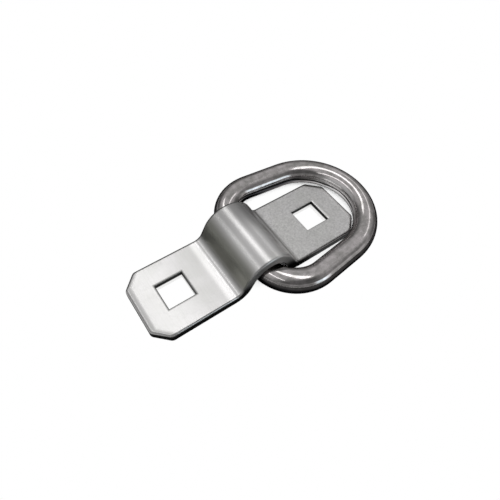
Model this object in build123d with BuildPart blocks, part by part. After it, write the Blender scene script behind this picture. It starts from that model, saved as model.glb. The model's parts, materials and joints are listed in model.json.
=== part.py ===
from build123d import *
import math
import os

# Bolt-on tie-down ring: a D-shaped ring of round bar whose straight side turns in a tunnel
# under a formed strap bracket. The strap's two tabs are bolted to a deck or a wall.
# Frame: origin midway between the two bolt holes, on the plane that the tabs are bolted to.
# +X runs along the strap towards the ring's bow, +Y along the ring's straight bar, +Z away
# from the mounting plane. All sizes are in millimetres.

# Strap bracket: 40 x 5 flat steel bar
strap_width = 40.0
strap_thickness = 5.0
hole_pitch = 82.55
hole_side = 14.3
tab_end_margin = 20.0
corner_blend_radius = 3.0
bend_inside_radius = 4.6
flank_angle = 64.0

# Edges of the strap: rolled over by the blanking die on top, nearly sharp below
edge_roll = 1.5
hole_edge_roll = 0.5
underside_edge_break = 0.35

# D-ring: 1/2 inch round bar
rod_diameter = 12.7
ring_side_room = 6.85
bow_end_room = 4.0
bow_side_room = 4.5
ring_corner_inside_radius = 14.3

# Room between the two: around the bar in its tunnel, and at the tabs' corners under the bow
tunnel_side_play = 3.3
tunnel_head_room = 3.35
bow_corner_gap = 0.1

# The ring hangs loose in its tunnel and lies pushed this far along it
ring_slide = 1.2

# Ring sizes that follow: the centre line of the bar, from the hinge axis outwards
rod_radius = rod_diameter / 2
hinge_height = rod_radius
tab_end = hole_pitch / 2 + tab_end_margin
ring_half_width = strap_width / 2 + ring_side_room + rod_radius
bow_reach = tab_end + bow_end_room + rod_radius
bow_radius = strap_width / 2 + bow_side_room + rod_radius
bow_centre = bow_reach - bow_radius
ring_corner_radius = ring_corner_inside_radius + rod_radius
ring_corner_centre = ring_half_width - ring_corner_radius

# The legs lean towards each other: each is the common tangent of a corner and the bow
centre_run = bow_centre - ring_corner_radius
centre_distance = math.hypot(centre_run, ring_corner_centre)
leg_lean = math.degrees(
    math.asin((ring_corner_radius - bow_radius) / centre_distance)
    + math.atan2(ring_corner_centre, centre_run)
)

# Strap sizes that follow: the tunnel wraps the bar, and the tabs' corners are cut back so
# that the bow drops around them whichever side of its tunnel the ring has slid to
tunnel_radius = rod_radius + tunnel_side_play
tunnel_height = rod_diameter + tunnel_head_room
tunnel_centre_height = tunnel_height - tunnel_radius
flank_apex = tunnel_centre_height + tunnel_radius / math.cos(math.radians(flank_angle))
flank_foot = flank_apex / math.tan(math.radians(flank_angle))
rim_distance = rod_radius + edge_roll + bow_corner_gap
rim_drop = max(hinge_height - (strap_thickness - edge_roll), 0)
rim_run = math.sqrt(rim_distance**2 - rim_drop**2) - edge_roll
clear_radius = bow_radius - rim_run
tab_half_span = strap_width / 2 + abs(ring_slide)
cut_at_end = tab_half_span - math.sqrt(clear_radius**2 - (tab_end - bow_centre) ** 2)
cut_at_side = tab_end - bow_centre - math.sqrt(clear_radius**2 - tab_half_span**2)
corner_cut = max(cut_at_end, cut_at_side)

# Strap bracket: one bar bent over the ring's bar, with a square bolt hole in each tab
with BuildPart() as bracket:
    with BuildSketch(Plane.XZ):
        with BuildLine():
            FilletPolyline(
                (-tab_end, 0),
                (-flank_foot, 0),
                (0, flank_apex),
                (flank_foot, 0),
                (tab_end, 0),
                radius=[
                    bend_inside_radius + strap_thickness,
                    tunnel_radius,
                    bend_inside_radius + strap_thickness,
                ],
            )
            offset(amount=strap_thickness, side=Side.LEFT)
        make_face()
    extrude(amount=strap_width / 2, both=True)

    # Corners of the tabs, cut at 45 degrees and blended
    chamfer(bracket.edges().filter_by(Axis.Z), corner_cut)
    fillet(bracket.edges().filter_by(Axis.Z), corner_blend_radius)

    # Rims of the upper and lower skins
    side_faces = bracket.faces().filter_by(lambda face: abs(face.normal_at().Z) < 0.1)
    upper_faces = bracket.faces().filter_by(lambda face: face.normal_at().Z > 0.1)
    upper_rim = upper_faces.edges() & side_faces.edges()
    fillet(upper_rim, edge_roll)
    side_faces = bracket.faces().filter_by(lambda face: abs(face.normal_at().Z) < 0.1)
    lower_faces = bracket.faces().filter_by(lambda face: face.normal_at().Z < -0.1)
    lower_rim = lower_faces.edges() & side_faces.edges()
    chamfer(lower_rim, underside_edge_break)

    # Square holes for carriage bolts, with the punched edge rolled in on top
    with BuildSketch(Plane.XY):
        with Locations((-hole_pitch / 2, 0), (hole_pitch / 2, 0)):
            Rectangle(hole_side, hole_side)
    extrude(amount=strap_thickness, mode=Mode.SUBTRACT)
    tab_tops = bracket.faces().filter_by(Plane.XY).group_by(Axis.Z)[-1]
    hole_rims = ShapeList(
        edge for face in tab_tops for wire in face.inner_wires() for edge in wire.edges()
    )
    fillet(hole_rims, hole_edge_roll)

bracket.part.label = "mounting_bracket"

# D-ring: round bar bent to a closed D, lying on the mounting plane with its bow over a tab
ring_plane = Plane(origin=(0, ring_slide, hinge_height))
with BuildPart() as ring:
    with BuildLine(ring_plane):
        Line((0, -ring_corner_centre), (0, ring_corner_centre))
        far_corner = CenterArc(
            (ring_corner_radius, ring_corner_centre),
            ring_corner_radius,
            180,
            -(90 + leg_lean),
        )
        bow = CenterArc((bow_centre, 0), bow_radius, 90 - leg_lean, -2 * (90 - leg_lean))
        near_corner = CenterArc(
            (ring_corner_radius, -ring_corner_centre),
            ring_corner_radius,
            -(90 - leg_lean),
            -(90 + leg_lean),
        )
        Line(far_corner @ 1, bow @ 0)
        Line(bow @ 1, near_corner @ 0)
    with BuildSketch(Plane.XZ.offset(ring_corner_centre - ring_slide)):
        with Locations((0, hinge_height)):
            Circle(rod_radius)
    sweep()

ring.part.label = "d_ring"

os.makedirs("parts", exist_ok=True)
export_step(bracket.part, "parts/mounting_bracket.step")
export_step(ring.part, "parts/d_ring.step")
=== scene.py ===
import json
import math

import bpy
from mathutils import Matrix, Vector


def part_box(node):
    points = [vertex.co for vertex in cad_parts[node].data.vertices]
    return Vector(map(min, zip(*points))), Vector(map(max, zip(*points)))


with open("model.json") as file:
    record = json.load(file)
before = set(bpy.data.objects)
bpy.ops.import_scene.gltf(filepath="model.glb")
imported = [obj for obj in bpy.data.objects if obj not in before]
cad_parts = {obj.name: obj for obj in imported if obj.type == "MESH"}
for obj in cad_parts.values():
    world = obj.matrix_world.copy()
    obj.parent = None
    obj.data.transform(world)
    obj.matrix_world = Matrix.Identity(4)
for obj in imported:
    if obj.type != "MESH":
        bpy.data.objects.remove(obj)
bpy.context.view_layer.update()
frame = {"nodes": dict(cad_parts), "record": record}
bpy.ops.object.select_all(action="DESELECT")
bpy.context.scene.view_settings.view_transform = "Standard"


# Camera: it stands in front of the strap's first tab and looks steeply down across the strap
# towards the ring, turned a little about its own line of sight, as the photograph was taken.
camera_place = (-0.06997, -0.09176, 0.17681)
camera_heading = 38.065
camera_dip = 56.101
camera_roll = 3.878
camera_lens = 29.323
camera_sensor = 36.0

camera_data = bpy.data.cameras.new("camera")
camera_data.sensor_width = camera_sensor
camera_data.lens = camera_lens
camera_data.clip_start = 0.005
camera_data.clip_end = 20.0
camera = bpy.data.objects.new("camera", camera_data)
bpy.context.scene.collection.objects.link(camera)
camera.matrix_world = (
    Matrix.Translation(camera_place)
    @ Matrix.Rotation(math.radians(-camera_heading), 4, "Z")
    @ Matrix.Rotation(math.radians(90 - camera_dip), 4, "X")
    @ Matrix.Rotation(math.radians(camera_roll), 4, "Z")
)
bpy.context.scene.camera = camera


# Mounting bracket: flat steel bar, blanked with rolled-over edges, punched with two square
# holes, bent over the ring's bar and then bright zinc plated. Its skin is satin, scratched and
# cloudy, under painted light and shade, and the walls that the shears and the punch left are
# rough, with painted shade and light on them.
class Wire:
    """One node output. Sums on it add Math nodes, and node() adds any other node."""

    def __init__(self, tree, socket=None):
        self.tree = tree
        self.socket = socket

    def node(self, kind, settings=None, sockets=None, output=0):
        """A new node, with its settings and then the values or links of its sockets."""
        made = self.tree.nodes.new(kind)
        for name, value in (settings or {}).items():
            setattr(made, name, value)
        for name, value in (sockets or {}).items():
            if isinstance(value, Wire):
                self.tree.links.new(value.socket, made.inputs[name])
            else:
                made.inputs[name].default_value = value
        return Wire(self.tree, made.outputs[output] if made.outputs else None)

    def twin(self, output):
        """Another output of the same node."""
        return Wire(self.tree, self.socket.node.outputs[output])

    def parts(self):
        """The three numbers of this vector."""
        numbers = self.node("ShaderNodeSeparateXYZ", {}, {0: self})
        return [numbers.twin(output) for output in range(3)]

    def sum(self, operation, *terms):
        return self.node("ShaderNodeMath", {"operation": operation}, dict(enumerate(terms)))

    def __add__(self, other):
        return self.sum("ADD", self, other)

    def __radd__(self, other):
        return self.sum("ADD", other, self)

    def __sub__(self, other):
        return self.sum("SUBTRACT", self, other)

    def __rsub__(self, other):
        return self.sum("SUBTRACT", other, self)

    def __mul__(self, other):
        return self.sum("MULTIPLY", self, other)

    def __rmul__(self, other):
        return self.sum("MULTIPLY", other, self)

    def __truediv__(self, other):
        return self.sum("DIVIDE", self, other)

    def __rtruediv__(self, other):
        return self.sum("DIVIDE", other, self)

    def __neg__(self):
        return self.sum("SUBTRACT", 0.0, self)

    def __abs__(self):
        return self.sum("ABSOLUTE", self)

    def at_least(self, other):
        """The larger of the two."""
        return self.sum("MAXIMUM", self, other)

    def step(self, low, high):
        """0 where this is below low, 1 where it is above high, smooth between them."""
        return self.node(
            "ShaderNodeMapRange",
            {"interpolation_type": "SMOOTHSTEP"},
            {"Value": self, "From Min": low, "From Max": high, "To Min": 0.0, "To Max": 1.0},
        )

    def fade(self, low, high):
        """1 where this is below low, 0 where it is above high, smooth between them."""
        return 1.0 - self.step(low, high)

    def noise(self, scale, detail=2.0, rough=0.5, stretch=None, turn=0.0):
        """Noise over the piece, with scale in waves per metre, stretched along one axis."""
        place = self
        if stretch:
            place = self.node(
                "ShaderNodeMapping",
                {},
                {"Vector": self, "Rotation": (0.0, 0.0, math.radians(turn)), "Scale": stretch},
            )
        return self.node(
            "ShaderNodeTexNoise",
            {},
            {"Vector": place, "Scale": scale, "Detail": detail, "Roughness": rough},
        )

    def tint(self, first, second):
        """The colour first where this is 0, and second where it is 1."""
        return self.node(
            "ShaderNodeMix",
            {"data_type": "RGBA"},
            {0: self, 6: first, 7: second},
            output=2,
        )

    def lit(self, level):
        """This colour, darker or brighter by a level."""
        return self.node(
            "ShaderNodeVectorMath",
            {"operation": "SCALE"},
            {0: self, "Scale": level},
        )

    def bump(self, strength, distance, below=None):
        """A surface raised by this height, on top of the relief below it where there is one."""
        sockets = {"Strength": strength, "Distance": distance, "Height": self}
        if below is not None:
            sockets["Normal"] = below
        return self.node("ShaderNodeBump", {}, sockets)


def start_finish(name):
    """An empty material, and the wire that its nodes start from."""
    material = bpy.data.materials.new(name)
    material.use_nodes = True
    material.node_tree.nodes.clear()
    return material, Wire(material.node_tree)


def plate(node, finish, start, sockets):
    """Metal all over one node, with the sockets that its finish sets."""
    metal = start.node("ShaderNodeBsdfPrincipled", {}, {"Metallic": 1.0, **sockets})
    start.node("ShaderNodeOutputMaterial", {}, {"Surface": metal})
    piece = frame["nodes"][node]
    piece.data.materials.clear()
    piece.data.materials.append(finish)


def near_hole(place_x, place_y, low, high):
    """1 over a square hole and up to low past its sides, and 0 from high past them."""
    past_sides = abs(abs(place_x) - hole_place).at_least(abs(place_y)) - hole_half
    return past_sides.fade(low, high)


# Sizes of the strap
mounts = {mount["name"]: mount["pos_m"] for mount in frame["record"]["mounts"]}
hole_place = mounts["square_hole_b"][0]
hole_half = 0.00715
strap_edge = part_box("mounting_bracket")[1].y
end_roll_start = 0.0577
cut_roll_start = 0.0700
roll_down = 50.0

# Places along the strap: where each shade starts, and where it is full or gone
first_tab_shade = (-0.0590, -0.0320)
bend_foot = (-0.0245, -0.0215)
flank_top = (-0.0150, -0.0110)
between_tabs = (0.0, 0.010)
second_tab_start = (0.010, 0.020)
highlight_start = (0.0478, 0.0486)
highlight_end = (0.0490, 0.0500)

# Places across it, the last two from its far side and as x + y at its far cut corner
near_half = (0.006, 0.019)
saddle_far = (-0.004, 0.014)
shoulder_near = (-0.004, 0.008)
highlight_side = (0.0068, 0.0078)
side_rim = (-0.0019, -0.0009)
cut_rim = (0.0698, 0.0712)

# Places above the deck, and past the sides of a hole
tear_top = (0.0021, 0.0027)
flank_rise = (0.0055, 0.0100)
wall_light_rise = (0.0060, 0.0120)
foot_top = (0.0070, 0.0100)
bend_rise = (0.0080, 0.0100)
saddle_rise = (0.0080, 0.0120)
near_top = (0.0110, 0.0160)
hole_wall = (0.00025, 0.00085)
hole_lip = (0.00045, 0.00125)

# Colours of the plating and of its painted light and shade, strengths of the painted shade on its
# rims, painted light and shade levels of its skin with its grain, and roughness
strap_zinc = (0.65, 0.64, 0.64, 1.0)
strap_dull = (0.58, 0.58, 0.56, 1.0)
strap_flank_painted_shade = (0.38, 0.38, 0.34, 1.0)
strap_flank_near_painted_shade = (0.60, 0.60, 0.54, 1.0)
strap_rim_painted_shade = (0.13, 0.13, 0.125, 1.0)
strap_wall_painted_shade = (0.05, 0.05, 0.05, 1.0)
strap_wall_painted_light = (0.55, 0.55, 0.54, 1.0)
strap_hole_wall_painted_shade = (0.015, 0.015, 0.015, 1.0)
strap_hole_foot_painted_white = (1.0, 1.0, 0.99, 1.0)
strap_specular = (0.70, 0.70, 0.70, 1.0)

side_rim_shade = 0.70
cut_rim_shade = 0.85
first_lip_shade = 0.80
second_lip_shade = 0.15

skin_level = 1.15
first_tab_loss = 0.32
flank_gain = 0.37
bend_loss = 0.24
saddle_loss = 0.16
saddle_far_loss = 0.22
steep_gain = 0.40
foot_gain = 0.22
highlight_gain = 0.50
strap_grain = 0.05
second_tab_grain = 0.75

strap_roughness = 0.28
clouds_roughness = 0.06
scratch_roughness = 0.08
sheared_roughness = 0.50
torn_roughness = 0.35

strap_finish, start = start_finish("zinc_on_rolled_strap")
place = start.node("ShaderNodeTexCoord", output=3)
facing = start.node("ShaderNodeTexCoord", output=1)
place_x, place_y, place_z = place.parts()
across, along, upright = facing.parts()

# The zinc itself: cloudy and speckled, over the lines of the rolling mill and two sets of
# scratches, and grainy on the second tab
clouds = place.noise(70.0, 3.0, 0.55)
speckle = place.noise(1400.0, 2.0, 0.6).step(0.58, 0.72)
mill_lines = place.noise(1.0, 3.0, 0.6, (1300.0, 9.0, 9.0)).step(0.42, 0.66)
scratch_a = place.noise(1.0, 3.0, 0.6, (2600.0, 90.0, 90.0), 24.0).step(0.60, 0.70)
scratch_b = place.noise(1.0, 3.0, 0.6, (90.0, 2900.0, 90.0), 9.0).step(0.60, 0.70)
scratches = (scratch_a + scratch_b) * 0.5
mottle = clouds.step(0.35, 0.70) * 0.45 + speckle * 0.25 + mill_lines * 0.30
grain_share = place_x.step(*second_tab_start) * second_tab_grain + strap_grain
grain = (place.noise(1100.0, 2.0, 0.6) - 0.5) * grain_share

# Painted light and shade along the strap: the first tab darker and darker towards the bend, the
# bend brighter from its foot, and from the top of its flank on all a little darker
level = skin_level - place_x.step(*first_tab_shade) * first_tab_loss
level = level + place_x.step(*bend_foot) * flank_gain
level = level - place_x.step(*flank_top) * bend_loss

# Painted light and shade over the ring's bar: darker on the saddle, most on its far half, and a
# painted highlight down the steep side, in the foot before the second tab and on a strip just
# past the second hole's outer side
on_bend = place_z.step(*bend_rise)
saddle = place_y.step(*saddle_far) * place_z.step(*saddle_rise)
level = level - saddle * (across.step(-0.15, 0.15) * saddle_far_loss + saddle_loss)
steep = across.step(0.62, 0.78) * on_bend
foot = across.step(0.15, 0.50) * place_z.fade(*foot_top)
shoulder = across.step(0.15, 0.27) * across.fade(0.40, 0.52) * on_bend
shoulder = shoulder * place_y.fade(*shoulder_near)
level = level + steep * steep_gain + (foot + shoulder) * foot_gain
painted_highlight = place_x.step(*highlight_start) * place_x.fade(*highlight_end)
painted_highlight = painted_highlight * abs(place_y).fade(*highlight_side)
level = level + painted_highlight * highlight_gain + grain

# Painted shade on the flank towards the first tab: darkest on its far side and higher up, lighter
# low on its near side
shaded_flank = (-across).step(0.50, 0.84) * place_z.step(*flank_rise)
low_near = (-place_y).step(*near_half) * place_z.fade(*near_top)
flank_painted_shade = low_near.tint(strap_flank_painted_shade, strap_flank_near_painted_shade)

# Painted shade on the rolled rims that face the far side, along the far side, at the far cut
# corner and round the holes
rim_painted_shade = along.step(0.10, 0.50)
rim_painted_shade = rim_painted_shade.at_least((place_y - strap_edge).step(*side_rim) * side_rim_shade)
rim_painted_shade = rim_painted_shade.at_least((place_x + place_y).step(*cut_rim) * cut_rim_shade)
lip_shade = place_x.step(*between_tabs) * (second_lip_shade - first_lip_shade) + first_lip_shade
rim_painted_shade = rim_painted_shade.at_least(near_hole(place_x, place_y, *hole_lip) * lip_shade)

# Walls: painted shade makes them black, blacker beside the holes, with painted light high up
# on the bend and painted white at the torn bottom of the holes
sheared = abs(upright).fade(0.20, 0.42)
beside_hole = near_hole(place_x, place_y, *hole_wall)
torn_foot_painted_white = sheared * beside_hole * place_z.fade(*tear_top)
wall_painted_shade = place_z.step(*wall_light_rise).tint(strap_wall_painted_shade, strap_wall_painted_light)
wall_painted_shade = beside_hole.tint(wall_painted_shade, strap_hole_wall_painted_shade)

skin = shaded_flank.tint(mottle.tint(strap_zinc, strap_dull).lit(level), flank_painted_shade)
colour = torn_foot_painted_white.tint(sheared.tint(rim_painted_shade.tint(skin, strap_rim_painted_shade), wall_painted_shade), strap_hole_foot_painted_white)
roughness = (
    strap_roughness
    + clouds * clouds_roughness
    + scratches * scratch_roughness
    + sheared * (sheared_roughness - strap_roughness)
    + torn_foot_painted_white * (torn_roughness - sheared_roughness)
)

# Relief: fine dents and scratches, and the skin rolling down to the tabs' ends and corner cuts
relief = place.noise(260.0, 2.0, 0.5) * 0.5 + scratches * 0.10 + speckle * 0.10
to_end = abs(place_x) - end_roll_start
to_cut = (abs(place_x) + abs(place_y) - cut_roll_start) * math.sqrt(0.5)
to_rim = to_end.at_least(to_cut).at_least(0.0)
rolled = (to_rim * to_rim * -roll_down).bump(1.0, 1.0, below=relief.bump(0.30, 0.00006))

plate(
    "mounting_bracket",
    strap_finish,
    start,
    {
        "Base Color": colour,
        "Roughness": roughness,
        "Specular Tint": strap_specular,
        "Normal": rolled,
    },
)


# D-ring: round steel bar bent to a closed D, its straight side lying in the bracket's tunnel.
# Drawn bar takes the zinc smoother than the strap does, so it is shinier and darker, with the
# lines of the die along it. Painted shade darkens its sides, and painted light brightens the
# inside of its bow.
ring_zinc = (0.66, 0.62, 0.625, 1.0)
ring_dull = (0.31, 0.305, 0.29, 1.0)
ring_belt_painted_shade = (0.12, 0.12, 0.13, 1.0)
ring_bow_painted_light = (0.88, 0.86, 0.86, 1.0)
ring_specular = (0.10, 0.10, 0.10, 1.0)
ring_roughness = 0.07
bow_unshaded = (0.025, 0.040)
bow_lightened = (0.035, 0.050)

ring_finish, start = start_finish("zinc_on_drawn_bar")
place = start.node("ShaderNodeTexCoord", output=3)
facing = start.node("ShaderNodeTexCoord", output=1)
place_x, place_y, _ = place.parts()
across, _, upright = facing.parts()

clouds = place.noise(330.0, 4.0, 0.65)
speckle = place.noise(1200.0, 2.0, 0.6).step(0.58, 0.72)
along_bar = place.node(
    "ShaderNodeCombineXYZ", {}, {0: upright * 7.0, 1: place_x * 60.0, 2: place_y * 60.0}
)
draw_lines = along_bar.noise(1.0, 3.0, 0.6).step(0.38, 0.62)
mottle = clouds.step(0.38, 0.60) * 0.40 + draw_lines * 0.45 + speckle * 0.15

# Painted shade: a dark belt round the bar's sides, left off on the inside of the bow, and painted
# light over the bow's inner face
painted_belt = abs(upright).fade(0.08, 0.38)
unshaded_bow = (-across).step(0.30, 0.70) * place_x.step(*bow_unshaded)
bow_painted_light = (-across).step(0.64, 0.84) * place_x.step(*bow_lightened)
skin = mottle.tint(ring_zinc, ring_dull)
colour = bow_painted_light.tint((painted_belt * (1.0 - unshaded_bow)).tint(skin, ring_belt_painted_shade), ring_bow_painted_light)
relief = place.noise(180.0, 2.0, 0.5) * 0.6 + speckle * 0.10

plate(
    "d_ring",
    ring_finish,
    start,
    {
        "Base Color": colour,
        "Roughness": ring_roughness + clouds * 0.08 + speckle * 0.05,
        "Specular Tint": ring_specular,
        "Normal": relief.bump(0.30, 0.00005),
    },
)


# Floor: a plain white sheet under the part, glowing pure white to the camera but for a painted
# contact shadow where the part hems it in. Its glow is painted out of the metal's reflections
# close to the part, so the metal mirrors a painted dark mat there, and white further off, in
# painted white patches in the holes and the bow, and just past the first tab's end.
floor_size = 6.0
floor_white = (0.86, 0.86, 0.86, 1.0)
floor_shade = (0.04, 0.04, 0.04, 1.0)
floor_glow = 0.94
contact_reach = 0.040
painted_mat_edge = (0.20, 0.60)
painted_mat_white = 0.10
hole_view = (0.00035, 0.00185)
bow_middle = 0.048
bow_view = (0.026, 0.034)
bow_share = 0.75
end_start = (0.0620, 0.0660)
end_stop = (0.0740, 0.0800)
end_share = 0.60


def apart(x, y):
    """How far a place is from the middle."""
    return x.sum("SQRT", x * x + y * y)


floor_finish, start = start_finish("floor_white")
camera_rays = start.node("ShaderNodeLightPath")
mirror_rays = camera_rays.twin("Is Glossy Ray") + camera_rays.twin("Is Transmission Ray")
open_sky = start.node(
    "ShaderNodeAmbientOcclusion", {"samples": 8}, {"Distance": contact_reach}, output=1
)
place = start.node("ShaderNodeTexCoord", output=3)
place_x, place_y, _ = place.parts()

beyond = apart(place_x, place_y).step(*painted_mat_edge)
in_hole = near_hole(place_x, place_y, *hole_view)
in_bow = apart(place_x - bow_middle, place_y).fade(*bow_view) * bow_share
past_end = (-place_x).step(*end_start) * (-place_x).fade(*end_stop) * end_share
painted_white_reflection = beyond.at_least(in_hole).at_least(in_bow).at_least(past_end)

# Painted contact shadow in the camera's glow, and painted reflection for the metal: white only far
# off and in the patches
share = camera_rays * open_sky.step(0.03, 0.16) + mirror_rays * painted_white_reflection * floor_glow
# Painted shade in the floor's own colour: dark near the part and where the part hems it in
painted_floor_light = open_sky.step(0.30, 0.95) * (beyond * (1.0 - painted_mat_white) + painted_mat_white)
paint = start.node("ShaderNodeBsdfDiffuse", {}, {"Color": painted_floor_light.tint(floor_shade, floor_white)})
glow = start.node("ShaderNodeEmission", {}, {"Color": (1.0, 1.0, 1.0, 1.0), "Strength": 1.0})
surface = start.node("ShaderNodeMixShader", {}, {0: share, 1: paint, 2: glow})
start.node("ShaderNodeOutputMaterial", {}, {"Surface": surface})

bpy.ops.mesh.primitive_plane_add(size=floor_size, location=(0.0, 0.0, -0.0001))
floor = bpy.context.object
floor.name = "floor"
floor.data.materials.append(floor_finish)


# Studio light: two long soft boxes hang in line with the ring's straight bar, so that they draw
# straight highlights along the bend, and a shorter one hangs past the bow. A low window stands
# at the front. The grey room is brightest overhead and dark behind the camera.
box_height = 1.5
main_box = {"across": (0.05, 0.28), "along": (-0.40, 1.15), "core": 1.76, "cloth": 0.06}
side_box = {"across": (-0.76, -0.64), "along": (-0.60, 0.85), "core": 1.90, "cloth": 0.04}
end_box = {"across": (1.00, 1.20), "along": (-0.20, 0.70), "core": 0.90, "cloth": 0.10}
cloth_margin = 0.08
cloth_edge = 0.10
room_low = 0.24
room_high = 0.55
room_side = -0.05
room_behind = 0.14
corner_gain = 0.08
low_front_gain = 0.35
low_back_loss = 0.12
right_front_gain = 0.14
window_glow = 1.30
window_tint = (0.86, 0.98, 1.05, 1.0)
room_tint = (1.0, 1.0, 1.0, 1.0)

room = bpy.data.worlds.new("room")
bpy.context.scene.world = room
room.use_nodes = True
room.node_tree.nodes.clear()
start = Wire(room.node_tree)
to_right, to_back, up = start.node("ShaderNodeTexCoord", output=3).parts()
to_front = -to_back

# The room's walls
level = up.step(0.10, 0.72) * (room_high - room_low) + room_low
level = level + to_right * (1.0 - up) * room_side
level = level + (to_right * 0.7 + to_back * 0.7).step(0.55, 0.95) * corner_gain
behind = to_front.step(0.20, 0.62) * up.step(0.28, 0.44)
low_front = to_front.step(0.40, 0.70) * to_right.step(0.10, 0.40) * up.fade(0.25, 0.42)
low_back = to_back.step(0.75, 0.92) * up.fade(0.30, 0.50)
right_front = to_right.step(0.15, 0.35) * to_front.step(0.20, 0.45)
right_front = right_front * up.step(0.28, 0.42) * up.fade(0.80, 0.92)
level = level * (1.0 - behind) + behind * room_behind + low_front * low_front_gain
level = level - low_back * low_back_loss + right_front * right_front_gain

# The soft boxes: each is a lamp for its bright core, with a softly glowing cloth round it
overhead = up.at_least(0.05)
for name, box in (("main_box", main_box), ("side_box", side_box), ("end_box", end_box)):
    (left, right), (front, back) = box["across"], box["along"]
    lamp_data = bpy.data.lights.new(name, "AREA")
    lamp_data.shape = "RECTANGLE"
    lamp_data.size = (right - left) * box_height
    lamp_data.size_y = (back - front) * box_height
    lamp_data.energy = box["core"] * math.pi * lamp_data.size * lamp_data.size_y
    lamp = bpy.data.objects.new(name, lamp_data)
    bpy.context.scene.collection.objects.link(lamp)
    lamp.location = (
        (left + right) / 2 * box_height,
        (front + back) / 2 * box_height,
        box_height,
    )
    cloth = up.step(0.05, 0.15) * box["cloth"]
    for shift, low, high in ((to_right, left, right), (to_back, front, back)):
        shift = shift / overhead
        low, high = low - cloth_margin, high + cloth_margin
        cloth = cloth * shift.step(low - cloth_edge, low + cloth_edge)
        cloth = cloth * shift.fade(high - cloth_edge, high + cloth_edge)
    level = level + cloth

# The window, and plain white for the camera
window = to_front.step(0.55, 0.75) * to_right.step(0.05, 0.18) * to_right.fade(0.38, 0.62)
window = window * up.step(0.0, 0.05) * up.fade(0.26, 0.42)
level = level + window * window_glow
backdrop = start.node("ShaderNodeLightPath")
level = level * (1.0 - backdrop) + backdrop
tint = (window * (1.0 - backdrop)).tint(room_tint, window_tint)
glow = start.node("ShaderNodeBackground", {}, {"Color": tint, "Strength": level})
start.node("ShaderNodeOutputWorld", {}, {"Surface": glow})
